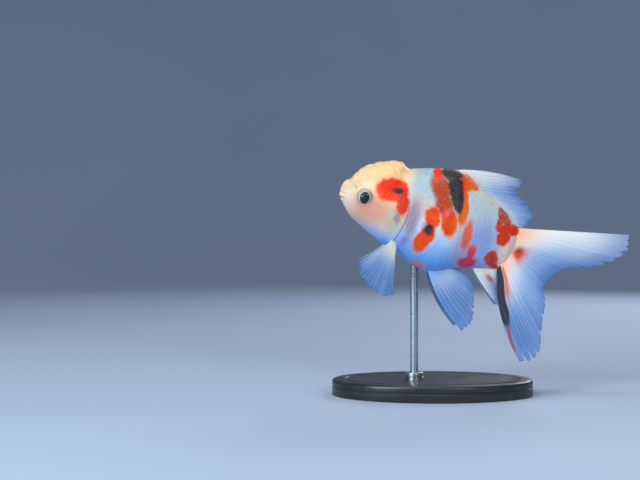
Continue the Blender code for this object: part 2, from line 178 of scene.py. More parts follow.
# Ridges and grooves that run beside a line, as (distance from it, height, width), and how dark the painted
# shade in them is.
LIPS = (
    (0.010, 0.0036, 0.0080), (-0.010, 0.0030, 0.0080), (-0.027, -0.0016, 0.007), (0.025, -0.0042, 0.005),
    (0.0, -0.0060, 0.0026),
)
LIP_SHADOWS = ((0.0, 0.8, 0.0026), (0.025, 0.3, 0.004))
EYELIDS = ((0.0455, 0.0058, 0.0045), (0.0560, -0.0009, 0.0040), (0.047, 0.0036, 0.018))
EYELID_SHADOWS = ((0.0405, 0.7, 0.0014), (0.056, 0.08, 0.003))
SOCKET_DEPTH = 0.030
NOSTRIL = (0.062, 0.052)
NOSTRIL_FLAP = (0.0735, 0.056)
NOSTRIL_EDGES = ((0.0105, 0.0018, 0.0042),)
NOSTRIL_FLAPS = ((0.0, 0.0036, 0.0065),)
NOSTRIL_DEPTH = 0.0070
NOSTRIL_SHADOW = 0.8
GILL_PLATE_HEIGHT = 0.0075
GILL_STEP_DEPTH = 0.0024
GILL_RIPPLE_HEIGHT = 0.0003
GILL_RAYS_AHEAD = (0.030, 0.047, 0.064)
GILL_RAY_DEPTH = 0.0012
HINGE_DEPTH = 0.0010
SEAM_DEPTH = 0.0012
THROAT_FOLD_DEPTH = 0.0032
TAIL_CREASE_DEPTH = 0.0040

SCALE_COURSES = 50
SCALES_ROUND = 28
SCALE_CELLS = 6
SCALES_FROM_X = 0.325
SCALES_TO_X = 0.962
SCALE_HALF_LENGTH = 1.62  # in courses
SCALE_HALF_WIDTH = 0.66  # in shares of one scale's turn
SCALE_THICKNESS = 0.0005
SCALE_SUNK = -0.0019
SCALE_RAISED = 0.0009
SCALE_PATCH = 0.003

SAMPLES_PER_RAY = 12
FIN_EMBED = 0.022
MEMBRANE = 0.0012
RAY_AT_ROOT = 0.0025
RAY_AT_TIP = 0.0016
PLEAT = 0.0009
EDGE_DRIFT = 0.012

PUPIL = (0.0262, 0.0308)
PUPIL_MIDDLE = (EYE_CENTRE[0] - 0.0010, EYE_CENTRE[1] - 0.0058)
PUPIL_HOLLOW = 0.0035
PUPIL_RIM = 0.0012
EYE_INSET = 0.0042


# --- curves and surfaces ---


def smooth(rows, at):
    """The rows' other columns at places in their first one: a cubic between neighbours, with the slope at
    each row taken from the rows beside it."""
    rows = np.asarray(rows, float)
    x, values = rows[:, 0], rows[:, 1:]
    slopes = np.gradient(values, x, axis=0)
    at = np.clip(np.asarray(at, float), x[0], x[-1])
    i = np.clip(np.searchsorted(x, at, side="right") - 1, 0, len(x) - 2)
    step = (x[i + 1] - x[i])[..., None]
    t = (at - x[i])[..., None] / step
    from_start = values[i] * (2 * t**3 - 3 * t**2 + 1) + slopes[i] * step * (t**3 - 2 * t**2 + t)
    return from_start + values[i + 1] * (3 * t**2 - 2 * t**3) + slopes[i + 1] * step * (t**3 - t**2)


def all_round(steps):
    """Evenly spaced angles round a full turn."""
    return np.linspace(0, TURN, steps, endpoint=False)


def ramp(value, start, stop):
    """0 before start and 1 after stop, with an even, soft rise between them."""
    t = np.clip((value - start) / (stop - start), 0, 1)
    return t * t * (3 - 2 * t)


def bell(distance, width):
    """The exponential of minus the square of the distance over the width."""
    return np.exp(-((distance / width) ** 2))


def from_spot(x, z, spot):
    """The distance from a spot, seen from the side."""
    return np.hypot(x - spot[0], z - spot[1])


def ridges(distance, rows):
    """A sum of bells over a distance, each given as (its middle, height, width)."""
    return sum(height * bell(distance - middle, width) for middle, height, width in rows)


def placed(points):
    """Points of the fish's frame tipped head up and lifted to their place, in metres."""
    x, y, z = np.moveaxis(points * STANDARD_LENGTH, -1, 0)
    along = x * math.cos(PITCH) + z * math.sin(PITCH) + SNOUT[0]
    up = z * math.cos(PITCH) - x * math.sin(PITCH) + SNOUT[2]
    return np.stack([along, y, up], axis=-1)


def grains(points, size, seed):
    """The distances, in cells, to the nearest and second nearest of centres scattered one to a cubic cell.
    A centre's shifts are the fractions of large sines of its cell's numbers."""
    mixers = np.array([[12.9898, 39.346, 73.156], [78.233, 11.135, 52.235], [37.719, 83.155, 9.151]])
    scaled = points / size
    nearest = second = np.full(points.shape[:-1], 9.0)
    for neighbour in itertools.product((-1, 0, 1), repeat=3):
        corner = np.floor(scaled) + neighbour
        centre = corner + np.sin(corner @ mixers + seed) * 4375.85 % 1.0
        distance = np.linalg.norm(scaled - centre, axis=-1)
        second = np.minimum(second, np.maximum(nearest, distance))
        nearest = np.minimum(nearest, distance)
    return nearest, second


def section_rows():
    """The body's sections, each led by its share of the way along the outline."""
    sections = np.array(BODY_SECTIONS)
    distance = np.cumsum(np.linalg.norm(np.diff(sections, axis=0, prepend=sections[:1]), axis=1))
    return np.column_stack([distance / distance[-1], sections])


def body_at(share, angle):
    """The body's surface: two half ovals that meet where it is widest. The angle is 0 on the back, a quarter
    turn on the right side and half a turn on the belly."""
    along, back, belly, half_width, widest = np.moveaxis(smooth(section_rows(), share), -1, 0)
    upper = np.cos(angle) > 0
    power = 2 / np.where(upper, BACK_SQUARENESS, BELLY_SQUARENESS)
    out = half_width * np.sign(np.sin(angle)) * np.abs(np.sin(angle)) ** power
    up = widest + np.where(upper, back - widest, belly - widest) * np.abs(np.cos(angle)) ** power
    return np.stack([along, out, up], axis=-1)


def body_normals(share, angle):
    """The body's outward directions: the cross product of small steps along it and around it."""
    step = 0.002
    lengthwise = body_at(share + step, angle) - body_at(share - step, angle)
    around = body_at(share, angle + step) - body_at(share, angle - step)
    across = np.cross(lengthwise, around)
    return across / np.linalg.norm(across, axis=-1, keepdims=True)


def grid_quads(rows, columns, closed):
    """The quads of a grid of points laid row by row, and the grid places of their corners."""
    across = columns - (not closed)
    i, j = (n.ravel() for n in np.meshgrid(np.arange(rows - 1), np.arange(across), indexing="ij"))
    i, j = np.stack([i, i + 1, i + 1, i], axis=1), np.stack([j, j, j + 1, j + 1], axis=1)
    return i * columns + j % columns, np.stack([i / (rows - 1), j / across], axis=-1)


def tube(rings):
    """A closed surface through rings of points, with a fan at each end: its corners, its faces, and their
    places on an unwrap of rings by sides."""
    count, sides = rings.shape[:2]
    corners = np.concatenate([rings.reshape(-1, 3), rings[:1].mean(axis=1), rings[-1:].mean(axis=1)])
    quads, places = grid_quads(count, sides, True)
    fans, fan_places = [], []
    j = np.arange(sides)
    for end, (near, far) in enumerate(((j, j + 1), (j + 1, j))):
        start, edge = end * (count - 1) * sides, 0.01 + 0.98 * end + 0 * j
        middle = count * sides + end + 0 * j
        fans.append(np.stack([start + near % sides, start + far % sides, middle], axis=1))
        spots = [edge, near / sides, edge, far / sides, 0 * j + end, (j + 0.5) / sides]
        fan_places.append(np.stack(spots, axis=1).reshape(-1, 3, 2))
    places = [places * (0.98, 1.0) + (0.01, 0.0), np.concatenate(fan_places)]
    return corners, [quads, np.concatenate(fans)], places


def into_scene(name, data):
    """A new object at the origin that carries a mesh, a lamp or a camera."""
    made = bpy.data.objects.new(name, data)
    bpy.context.scene.collection.objects.link(made)
    return made


def enclosed(corners, faces):
    """Six times the volume inside faces, negative where they face inwards: the sum over triangles of one
    corner against the cross product of the other two."""
    triangles = [block[:, [0, k - 1, k]] for block in faces for k in range(2, block.shape[1])]
    a, b, c = np.moveaxis(corners[np.concatenate(triangles)], 1, 0)
    return np.sum(a * np.cross(b, c))


def add_piece(name, shape, finish, marks=None, crisp=None):
    """A mesh piece that rides on the model, with faces that point inwards turned round, named numbers at its
    corners, and edges sharper than `crisp` degrees kept sharp."""
    corners, faces, places = shape
    if enclosed(corners, faces) < 0:
        faces, places = ([block[:, ::-1] for block in blocks] for blocks in (faces, places))
    mesh = bpy.data.meshes.new(name)
    mesh.from_pydata(corners.tolist(), [], [face for block in faces for face in block.tolist()])
    unwrap = mesh.uv_layers.new(name="OFBake")
    unwrap.data.foreach_set("uv", np.concatenate([block.ravel() for block in places]))
    for mark, values in (marks or {}).items():
        mesh.attributes.new(mark, "FLOAT", "POINT").data.foreach_set("value", values)
    mesh.materials.append(finish)
    mesh.shade_smooth()
    if crisp:
        mesh.set_sharp_from_angle(angle=math.radians(crisp))
    piece = into_scene(name, mesh)
    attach(piece, "root")
    return piece


# --- materials ---


def shade(code):
    """A colour from its six-figure display code, as the linear numbers that a shader takes."""
    display = [int(code[k : k + 2], 16) / 255 for k in (0, 2, 4)]
    return (*(((c + 0.055) / 1.055) ** 2.4 if c > 0.04045 else c / 12.92 for c in display), 1.0)


def node(kind, inputs, tree=None, **settings):
    """A new node, its inputs joined to outputs or set to values or colour codes. Its tree is that of those
    outputs, unless one is given."""
    joined = {key: value for key, value in inputs.items() if isinstance(value, bpy.types.NodeSocket)}
    tree = tree or next(iter(joined.values())).id_data
    made = tree.nodes.new(f"ShaderNode{kind}")
    for name, value in settings.items():
        setattr(made, name, value)
    for key, value in inputs.items():
        if key in joined:
            tree.links.new(value, made.inputs[key])
        else:
            made.inputs[key].default_value = shade(value) if isinstance(value, str) else value
    return made


def calc(operation, first, *others):
    """Arithmetic on other nodes' outputs and numbers, one step after another."""
    for other in others:
        first = node("Math", {0: first, 1: other}, operation=operation).outputs[0]
    return first


def times(*values):
    return calc("MULTIPLY", *values)


def greatest(*values):
    return calc("MAXIMUM", *values)


def ease(value, start, stop, low=0.0, high=1.0):
    """A value's softly eased place between start and stop, laid out from low to high."""
    ends = {"Value": value, "From Min": start, "From Max": stop, "To Min": low, "To Max": high}
    return node("MapRange", ends, interpolation_type="SMOOTHSTEP").outputs[0]


def mixed(amount, first, second):
    """One colour laid over another by an amount."""
    return node("Mix", {0: amount, 6: first, 7: second}, data_type="RGBA").outputs[2]


def layered(colour, *layers):
    """Colours laid over a first one in turn, each given as (where, strength, colour)."""
    for where, strength, laid in layers:
        colour = mixed(times(where, strength), colour, laid)
    return colour


def noise(vector, scale, detail=3.0, roughness=0.55, distortion=0.0):
    """Cloudy noise over a vector."""
    inputs = {"Vector": vector, "Scale": scale, "Detail": detail, "Roughness": roughness}
    return node("TexNoise", {**inputs, "Distortion": distortion}).outputs[0]


def mark(tree, name):
    """A number that the piece carries at its corners."""
    return node("Attribute", {}, tree, attribute_name=name).outputs["Fac"]


def object_place(tree):
    return node("TexCoord", {}, tree).outputs["Object"]


def fish_place(tree):
    """Object coordinates turned back into the fish's own frame, in standard lengths."""
    back = {"Vector": object_place(tree), "Location": SNOUT, "Rotation": (0, PITCH, 0)}
    back["Scale"] = [STANDARD_LENGTH] * 3
    return node("Mapping", back, vector_type="TEXTURE").outputs[0]


def new_finish(name, **constants):
    """A material and its tree, with the constants set on its shader's own sockets."""
    made = bpy.data.materials.new(name)
    made.use_nodes = True
    for socket, value in constants.items():
        made.node_tree.nodes["Principled BSDF"].inputs[socket.replace("_", " ")].default_value = value
    return made, made.node_tree


def join(finish, colour, rough, height, depth, strength=1.0, **others):
    """A finish, with a colour, a roughness and a height that bumps it joined to its shader."""
    bump = node("Bump", {"Height": height, "Distance": depth, "Strength": strength}).outputs[0]
    for socket, value in {"Base Color": colour, "Roughness": rough, "Normal": bump, **others}.items():
        finish.node_tree.links.new(value, finish.node_tree.nodes["Principled BSDF"].inputs[socket])
    return finish


# Patches of colour, as (x, z, half length, half height, degrees that the top leans to the tail).
ORANGE_ON_LEFT = (
    (0.247, 0.097, 0.086, 0.066, -18), (0.300, 0.100, 0.042, 0.072, -18),
    (0.330, 0.040, 0.032, 0.064, -10), (0.505, 0.022, 0.044, 0.060, -14),
    (0.602, 0.020, 0.047, 0.076, -16), (0.500, -0.096, 0.044, 0.088, 16),
    (0.646, 0.140, 0.034, 0.115, -12),
)
RUST_ON_LEFT = ((0.508, 0.190, 0.054, 0.084, -30), (0.548, 0.105, 0.042, 0.066, -30))
ROSE_ON_LEFT = (
    (0.720, -0.006, 0.028, 0.078, -6), (0.776, -0.092, 0.026, 0.046, -8),
    (0.772, -0.148, 0.056, 0.032, -18),
)
BLACK_ON_LEFT = ((0.508, -0.048, 0.027, 0.028, 20), (0.284, 0.104, 0.032, 0.017, -18))
INK_ON_LEFT = (
    (0.322, -0.040, 0.014, 0.034, -14), (0.478, -0.038, 0.019, 0.024, 10),
    (0.908, -0.084, 0.016, 0.024, -40),
)
TAIL_ROOT_ON_LEFT = ((0.903, -0.086, 0.040, 0.048, -10), (0.938, -0.122, 0.020, 0.036, -24))
ORANGE_ON_RIGHT = (
    (0.250, 0.060, 0.054, 0.046, -10), (0.342, 0.030, 0.032, 0.080, -10),
    (0.610, 0.030, 0.066, 0.080, -20), (0.690, 0.010, 0.050, 0.048, 10), (0.470, -0.130, 0.044, 0.054, 25),
    (0.905, -0.010, 0.034, 0.050, 0),
)
ROSE_ON_RIGHT = ((0.800, -0.095, 0.040, 0.050, 10), (0.575, -0.215, 0.054, 0.026, 5))
BLACK_ON_RIGHT = (
    (0.590, 0.050, 0.036, 0.032, -20), (0.440, 0.070, 0.018, 0.022, 0), (0.815, 0.060, 0.024, 0.016, 20),
)
# These cross the back, so they show on both sides.
ORANGE_ON_BACK = (
    (0.464, 0.280, 0.022, 0.060, -16), (0.640, 0.282, 0.050, 0.062, 10), (0.678, 0.272, 0.038, 0.026, 20),
)
BLACK_ON_BACK = ((0.543, 0.300, 0.064, 0.044, -12), (0.588, 0.205, 0.040, 0.126, -21))
PATCH_ON_STALK = (
    (0.893, 0.168, 0.034, 0.056, -20), (0.914, 0.110, 0.050, 0.060, -24),
    (0.966, 0.104, 0.044, 0.034, -10), (0.926, 0.048, 0.038, 0.052, 16),
)
CHEEK_END = (0.338, 0.050, 0.042, 0.085, -10)


def in_oval(place, x, z, half_length, half_height, lean=0.0):
    """A place in the frame of an oval that runs through the body, and its length there: 1 on the edge."""
    own = {"Vector": place, "Location": (x, 0, z), "Rotation": (0, math.radians(lean), 0)}
    own["Scale"] = (half_length, 100.0, half_height)
    local = node("Mapping", own, vector_type="TEXTURE").outputs[0]
    return local, node("VectorMath", {0: local}, operation="LENGTH").outputs["Value"]


def patches(place, spots, soft):
    """Where spots lie: 1 inside, 0 outside, by the smallest length in all the spots' ovals."""
    nearest = calc("MINIMUM", *(in_oval(place, *spot)[1] for spot in spots))
    return ease(nearest, 1 + soft, 1 - soft)


def shifted(place, scale, amount):
    """A place moved about by cloudy noise, so that what is drawn there gets an uneven edge."""
    shift = noise(place, scale, 4.0, 0.6).node.outputs["Color"]
    steps = ("SUBTRACT", 1, (0.5, 0.5, 0.5)), ("SCALE", "Scale", amount), ("ADD", 1, place)
    for operation, key, value in steps:
        shift = node("VectorMath", {0: shift, key: value}, operation=operation).outputs[0]
    return shift


def ground_colour(place, x, z, hood, fine, broad):
    """The colour between the patches: pearl white, bluer below and behind (partly the fish's own blue, partly
    painted blue light from below), cream on the head, pink cheeks.
    """

    def spot(*oval, soft=0.7):
        return patches(place, [oval], soft)

    return layered(
        "F0EEE8",
        (ease(broad, 0.35, 0.7), 1.0, "E2E5E4"),
        (spot(0.40, 0.22, 0.15, 0.13, soft=0.8), 0.95, "92AFBE"),
        (spot(0.43, 0.06, 0.07, 0.07, soft=0.8), 0.85, "C8AC9E"),
        (spot(0.78, 0.12, 0.15, 0.15), 0.75, "B4C4CC"),
        # Bluer low down and behind: partly the fish's own blue, partly painted blue light from below.
        (ease(z, 0.04, -0.15), 0.85, "98BCEE"),
        (ease(z, -0.06, -0.23), 0.85, "4E9CF0"),
        (spot(0.82, -0.03, 0.10, 0.13), 0.75, "7C98E0"),
        # A dark lilac strip just behind the gill edge: partly the fish's own lilac, partly painted shade
        # under the cover's edge.
        (spot(0.402, -0.03, 0.038, 0.11, -6), 0.85, "88667E"),
        (ease(x, 0.90, 1.0), 0.85, "EFC0B2"),
        (spot(0.965, -0.010, 0.032, 0.120), 0.80, "F6D0B8"),
        (spot(0.775, 0.245, 0.105, 0.020, 25), 0.75, "F2DFBC"),
        (spot(0.715, -0.085, 0.042, 0.085, -6), 0.55, "B484AA"),
        (spot(0.525, -0.248, 0.040, 0.020, 12, soft=0.5), 0.82, "EC6E5A"),
        (spot(0.398, -0.150, 0.020, 0.030, 20), 0.60, "7C50B0"),
        (times(ease(fine, 0.52, 0.68), ease(broad, 0.40, 0.58)), 0.55, "6C7DB8"),
        (times(ease(x, 0.375, 0.295), ease(z, -0.19, -0.06)), 0.88, "F2CEA0"),
        (spot(0.180, -0.036, 0.135, 0.078), 0.80, "D08074"),
        (spot(0.010, -0.020, 0.060, 0.080), 0.40, "F0D8DC"),
        (spot(0.320, -0.050, 0.050, 0.085), 0.85, "B2A896"),
        (hood, 0.90, "F0C69A"),
        (spot(0.19, 0.20, 0.15, 0.07, -10), 0.55, "FFC884"),
        (spot(0.030, 0.040, 0.050, 0.040), 0.62, "E2CC9C"),
    )


def markings_group():
    """The fish's colours from a place in its frame, shared by skin, scales and fins: ground, then patches."""
    tree = bpy.data.node_groups.new("calico_markings", "ShaderNodeTree")
    for name, kind, way in (
        ("Place", "Vector", "INPUT"), ("Hood", "Float", "INPUT"),
        ("Colour", "Color", "OUTPUT"), ("Patches", "Float", "OUTPUT"),
    ):
        tree.interface.new_socket(name, in_out=way, socket_type=f"NodeSocket{kind}")
    given = tree.nodes.new("NodeGroupInput").outputs
    place, hood = given["Place"], given["Hood"]
    x, y, z = node("SeparateXYZ", {0: place}).outputs
    fine, broad, clouds = noise(place, 75.0, 4.0, 0.65), noise(place, 14.0), noise(place, 34.0, 4.0, 0.7)
    edge = shifted(shifted(place, 19.0, 0.036), 85.0, 0.020)

    def by_side(left, right, soft, soft_on_right=None):
        """Spots on the fish's left and others on its right, eased together along the midline."""
        on_right = patches(edge, right, soft_on_right or soft) if right else 0.0
        return ease(y, -0.012, 0.012, patches(edge, left, soft), on_right)

    orange = greatest(by_side(ORANGE_ON_LEFT, ORANGE_ON_RIGHT, 0.20), patches(edge, ORANGE_ON_BACK, 0.16))
    halo = by_side(ORANGE_ON_LEFT + ORANGE_ON_BACK, (), 0.48)
    rust = by_side(RUST_ON_LEFT, (), 0.34)
    rose_halo = by_side(ROSE_ON_LEFT, (), 0.75)
    rose = by_side(ROSE_ON_LEFT, ROSE_ON_RIGHT, 0.34)
    stalk = greatest(patches(edge, PATCH_ON_STALK, 0.2), by_side(TAIL_ROOT_ON_LEFT, (), 0.2))
    saddle = patches(shifted(edge, 60.0, 0.030), BLACK_ON_BACK, 0.16)
    black = greatest(by_side(BLACK_ON_LEFT, BLACK_ON_RIGHT, 0.42, 0.30), saddle)
    ink = by_side(INK_ON_LEFT, (), 0.6)

    orange_hue = layered(
        "F63C00",
        (ease(broad, 0.35, 0.65), 1.0, "F65200"),
        (ease(z, 0.02, 0.10), 1.0, "EC2E00"),
        (ease(x, 0.60, 0.68), 0.9, "FA7618"),
        (patches(place, [CHEEK_END], 0.5), 0.75, "C42406"),
    )
    rose_hue = mixed(ease(z, -0.10, -0.03), "E82C50", "FA6238")
    stalk_hue = mixed(ease(z, 0.10, 0.18), "E23A0C", "BE6450")
    black_hue = mixed(ease(clouds, 0.35, 0.7), "14151C", "34343F")
    # Darker towards the back: painted shade that offsets the top lamp's sheen on the black.
    black_hue = mixed(ease(z, 0.19, 0.29, 0.0, 0.85), black_hue, "08090C")
    colour = layered(
        ground_colour(place, x, z, hood, fine, broad),
        (halo, 0.75, "F2A070"),
        (rose_halo, 0.60, "DDA0A4"),
        (rust, 0.95, "94564A"),
        (times(rust, ease(clouds, 0.34, 0.50)), 1.0, "B83A0C"),
        (times(rust, ease(clouds, 0.52, 0.62)), 0.8, "E2480E"),
        (times(rust, ease(fine, 0.56, 0.66)), 0.6, "5A3A38"),
        (rose, 0.92, rose_hue),
        (orange, 1.0, orange_hue),
        (stalk, ease(clouds, 0.30, 0.44, 0.62, 1.0), stalk_hue),
        (times(stalk, ease(z, 0.06, 0.15, 0.3, 1.0), ease(fine, 0.50, 0.62)), 0.8, "7A3228"),
        (black, 0.97, black_hue),
        (ink, 0.52, "45395A"),
    )
    result = tree.nodes.new("NodeGroupOutput").inputs
    tree.links.new(colour, result["Colour"])
    tree.links.new(greatest(orange, black, rose, stalk, rust), result["Patches"])
    return tree


def markings(place, group, hood=0.0):
    """The markings' colour, and where their patches are."""
    return node("Group", {"Place": place, "Hood": hood}, node_tree=group).outputs


def skin_finish(group):
    """Wet, pearly skin: the markings, with painted shade in the folds and grooves, over fine pores."""
    wet = {"Specular_IOR_Level": 0.18, "Coat_Weight": 0.10, "Coat_Roughness": 0.16}
    finish, tree = new_finish("fish_skin", Subsurface_Weight=0.12, Subsurface_Scale=0.0012, **wet)
    place = fish_place(tree)
    marked = markings(place, group, mark(tree, "hooded"))
    # The crease mark lays painted shade into the folds and grooves.
    colour = layered(marked["Colour"], (mark(tree, "crease"), 0.6, "8A5A50"))
    pores = noise(place, 160.0)
    return join(finish, colour, ease(pores, 0.3, 0.7, 0.44, 0.58), pores, 0.00012)


def scale_finish(group):
    """The same markings on each scale, with a paler rim that is partly pearl and partly painted highlight
    along its free edge, painted shadow at its root under the scale ahead, and fine growth rings.
    """
    wet = {"Specular_IOR_Level": 0.25, "Coat_Weight": 0.12, "Coat_Roughness": 0.14}
    finish, tree = new_finish("fish_scales", Subsurface_Weight=0.08, Subsurface_Scale=0.001, **wet)
    marked = markings(fish_place(tree), group)
    rim, pearl = mark(tree, "rim"), mark(tree, "pearl")
    between = calc("SUBTRACT", 1.0, marked["Patches"])
    colour = layered(
        marked["Colour"],
        (times(pearl, between), 0.12, "D3E6E8"),
        # A paler rim: partly pearl, partly painted highlight along each free edge.
        (times(ease(rim, 0.72, 0.95), between), 0.09, "FFFFFF"),
        # Painted shadow at each scale's root, where the scale ahead lies over it.
        (ease(rim, 0.30, 0.02), 0.05, "7F86A8"),
    )
    rings = node("Math", {0: times(rim, 44.0)}, operation="SINE").outputs[0]
    return join(finish, colour, ease(pearl, 0.0, 1.0, 0.50, 0.34), rings, 0.00002, 0.3)


def fin_finish(group):
    """A clear white web stretched between denser rays, thinner towards the edge, over the shared markings;
    bluer at the edge and low down, partly its own blue-grey and partly painted blue light.
    """
    wet = {"Specular_IOR_Level": 0.2, "Coat_Weight": 0.10, "Coat_Roughness": 0.18}
    finish, tree = new_finish("fish_fins", **wet)
    place = fish_place(tree)
    marked = markings(place, group)
    ray, reach, pale, dark, warm = (mark(tree, name) for name in ("ray", "reach", "pale", "dark", "warm"))
    x, _, z = node("SeparateXYZ", {0: place}).outputs
    # The lower fins' roots are bluer: painted blue light from below.
    low = times(ease(x, 0.42, 0.52), ease(z, -0.18, -0.26))
    flesh = layered("F0E2C8", (ease(x, 0.86, 0.96), 1.0, "FFB890"), (low, 1.0, "6A9CDC"))
    colour = layered(
        "DDE2EA",
        # Bluer towards the edge: partly the web's own blue-grey, partly painted blue light.
        (ease(reach, 0.10, 0.65), 1.0, "8CA8D4"),
        (ease(reach, 0.60, 1.0), 1.0, "4472B8"),
        # Bluer on the lower fins: painted blue light from below.
        (ease(z, -0.16, -0.42), 0.85, "4C7ABA"),
        (pale, ease(reach, 1.0, 0.55, 0.25, 0.85), "EFEEEA"),
        (ray, 0.26, "DCE8F8"),
        (ease(reach, 0.40, 0.02), 0.95, flesh),
        (marked["Patches"], ease(reach, 0.22, 0.08), marked["Colour"]),
        (warm, 1.0, "D9481A"),
        (dark, 1.0, "2B2A36"),
    )
    web = ease(reach, 0.05, 0.95, 0.96, 0.60)
    denser = times(calc("SUBTRACT", ease(reach, 0.3, 1.0, 0.99, 0.80), web), ray)
    cover = greatest(calc("ADD", web, denser), dark, warm)
    streak = noise(place, 60.0)
    return join(finish, colour, ease(streak, 0.3, 0.7, 0.36, 0.54), streak, 0.00005, Alpha=cover)


def iris_finish():
    """A silver iris round a black pupil, with fine fibres and a thin dark line where it meets the skin."""
    finish, tree = new_finish("eye_iris")
    place = fish_place(tree)
    local, from_pupil = in_oval(place, *PUPIL_MIDDLE, *PUPIL)
    from_eye = in_oval(place, *EYE_CENTRE, EYE_RADIUS, EYE_RADIUS)[1]
    direction = node("VectorMath", {0: local}, operation="NORMALIZE").outputs[0]
    fibres = noise(direction, 9.0, 4.0, 0.7)
    colour = layered(
        "DCDFE6",
        (ease(fibres, 0.35, 0.65), 1.0, "FFFFFA"),
        (ease(from_pupil, 1.16, 1.04), 1.0, "FFF8E8"),
        (ease(from_pupil, 1.05, 0.97), 1.0, "07090F"),
        (times(ease(from_eye, 0.86, 0.91), ease(from_eye, 0.97, 0.93)), 0.32, "4A4A54"),
    )
    return join(finish, colour, ease(fibres, 0.3, 0.7, 0.28, 0.42), fibres, 0.00006)


def stretched_noise(tree, squeeze, *detail):
    """Noise drawn out along the axes where its squeeze is least."""
    place = {"Vector": object_place(tree), "Scale": squeeze}
    return noise(node("Mapping", place).outputs[0], 1.0, *detail)


def lacquer_finish():
    """Satin black lacquer over turned wood: faint grain under it, dulled where it is handled."""
    finish, tree = new_finish("stand_lacquer", Coat_Weight=0.3, Coat_Roughness=0.22)
    grain = stretched_noise(tree, (40.0, 420.0, 420.0), 4.0, 0.6, 0.4)
    colour = mixed(ease(grain, 0.35, 0.7), "17171A", "26252A")
    wear = noise(object_place(tree), 90.0)
    return join(finish, colour, ease(wear, 0.3, 0.75, 0.28, 0.48), grain, 0.00006)


def steel_finish():
    """Brushed steel, with fine lines round it."""
    finish, tree = new_finish("stand_steel", Metallic=1.0)
    lines = stretched_noise(tree, (60.0, 60.0, 26000.0))
    colour = mixed(ease(lines, 0.3, 0.7), "A9ABAF", "C8CACD")
    return join(finish, colour, ease(lines, 0.3, 0.7, 0.24, 0.38), lines, 0.00001)


# --- the skin ---


def hood_relief(points, angle):
    """The hood's thickness inside its border, cut into soft lobes and covered in fine grains."""
    x, z = points[..., 0], points[..., 2]
    border = np.interp(x, *np.transpose(HOOD_BORDER))
    beside = ramp(np.abs(angle), math.radians(14), math.radians(48))
    on_top = smooth(HOOD_THICKNESS, x)[..., 0] * (1 - beside * ramp(x, 0.19, 0.315))
    fade = ramp(HOOD_ENDS_AT - np.abs(angle), 0, HOOD_ENDS_AT - HOOD_FULL_TO)
    edge = 0.024 + 0.050 * ramp(x, 0.03, 0.12)
    thickness = on_top * fade * ramp(z - border, -0.3 * edge, 0.8 * edge)
    covered = ramp(thickness, 0.002, 0.022)
    near, far = grains(points, LOBE_SIZE, 3)
    lobes = LOBE_HEIGHT * (ramp(far - near, 0.0, 0.6) - 0.6) * ramp(x, 0.035, 0.09)
    near, far = grains(points, GRAIN_SIZE, 11)
    fine = GRAIN_HEIGHT * (0.55 - near) * (0.3 + 0.7 * covered)
    on_head = 1 - ramp(x, 0.30, 0.33)
    return thickness + covered * lobes + fine * on_head * ramp(z - border, -0.10, 0.02), covered


def mouth_relief(x, y, z):
    """A slit from the front of the snout back to its corners, between two rolled lips, over a chin fold."""
    slope = (MOUTH_CORNER[1] - MOUTH_FRONT[1]) / (MOUTH_CORNER[0] - MOUTH_FRONT[0])
    line = z - MOUTH_FRONT[1] - slope * (x - MOUTH_FRONT[0])
    reach = 1 - ramp(x, MOUTH_CORNER[0] - 0.026, MOUTH_CORNER[0])
    return reach * ridges(line, LIPS), reach * ridges(line, LIP_SHADOWS)


def nostril_relief(x, y, z):
    """Two small pits before the eyes, each with a raised edge and a flap behind it."""
    off = from_spot(x, z, NOSTRIL)
    on_side = np.abs(y) > 0.02
    pit = bell(off, 0.0055)
    raised = ridges(off, NOSTRIL_EDGES) + ridges(from_spot(x, z, NOSTRIL_FLAP), NOSTRIL_FLAPS)
    return on_side * (raised - NOSTRIL_DEPTH * pit), on_side * NOSTRIL_SHADOW * pit


def eye_relief(x, y, z):
    """A socket under each eyeball and a soft raised rim round it, by the distance from the eye's middle."""
    off = from_spot(x, z, EYE_CENTRE)
    on_side = np.abs(y) > 0.06
    socket = -SOCKET_DEPTH * (1 - ramp(off, 0.0355, 0.0425))
    return on_side * (socket + ridges(off, EYELIDS)), on_side * ridges(off, EYELID_SHADOWS)


def gill_relief(x, y, z):
    """The gill cover's plate, stepped down at its rear edge, with the grooves between its bones and rays."""
    behind = x - smooth(GILL_EDGE, z)[..., 0]
    height = ramp(z, -0.205, -0.165) * (1 - ramp(z, 0.085, 0.150))
    plate = GILL_PLATE_HEIGHT * ramp(behind, -0.115, -0.006) * (1 - ramp(behind, -0.0015, 0.0035))
    step = bell(behind - 0.0050, 0.0045)
    hinge = x - (0.222 + 2.6 * (z + 0.01) ** 2 * np.where(z < -0.01, -1.0, 0.5))
    in_cheek = ramp(z, -0.17, -0.12) * (1 - ramp(z, 0.05, 0.09))
    hinge_groove = bell(hinge, 0.0042) * in_cheek
    lower = ramp(-z, 0.085, 0.115)
    seam = bell(z + 0.105 + 0.22 * (x - 0.30), 0.0036) * ramp(x, 0.228, 0.246) * (behind < 0)
    rays = sum(bell(behind + off, 0.0032) for off in GILL_RAYS_AHEAD) * lower * ramp(-z, 0.125, 0.150)
    fanned = np.sin(150 * np.arctan2(z - 0.07, x - 0.245))
    ripples = GILL_RIPPLE_HEIGHT * fanned * ramp(behind, -0.10, -0.05) * (behind < 0)
    grooves = HINGE_DEPTH * hinge_groove + SEAM_DEPTH * seam + GILL_RAY_DEPTH * rays
    relief = height * (plate - GILL_STEP_DEPTH * step + ripples) - grooves
    # The second value is painted shade: in the step under the cover's rear edge and in the grooves.
    return relief, 0.40 * height * step + 0.04 * hinge_groove + 0.06 * seam + 0.12 * rays


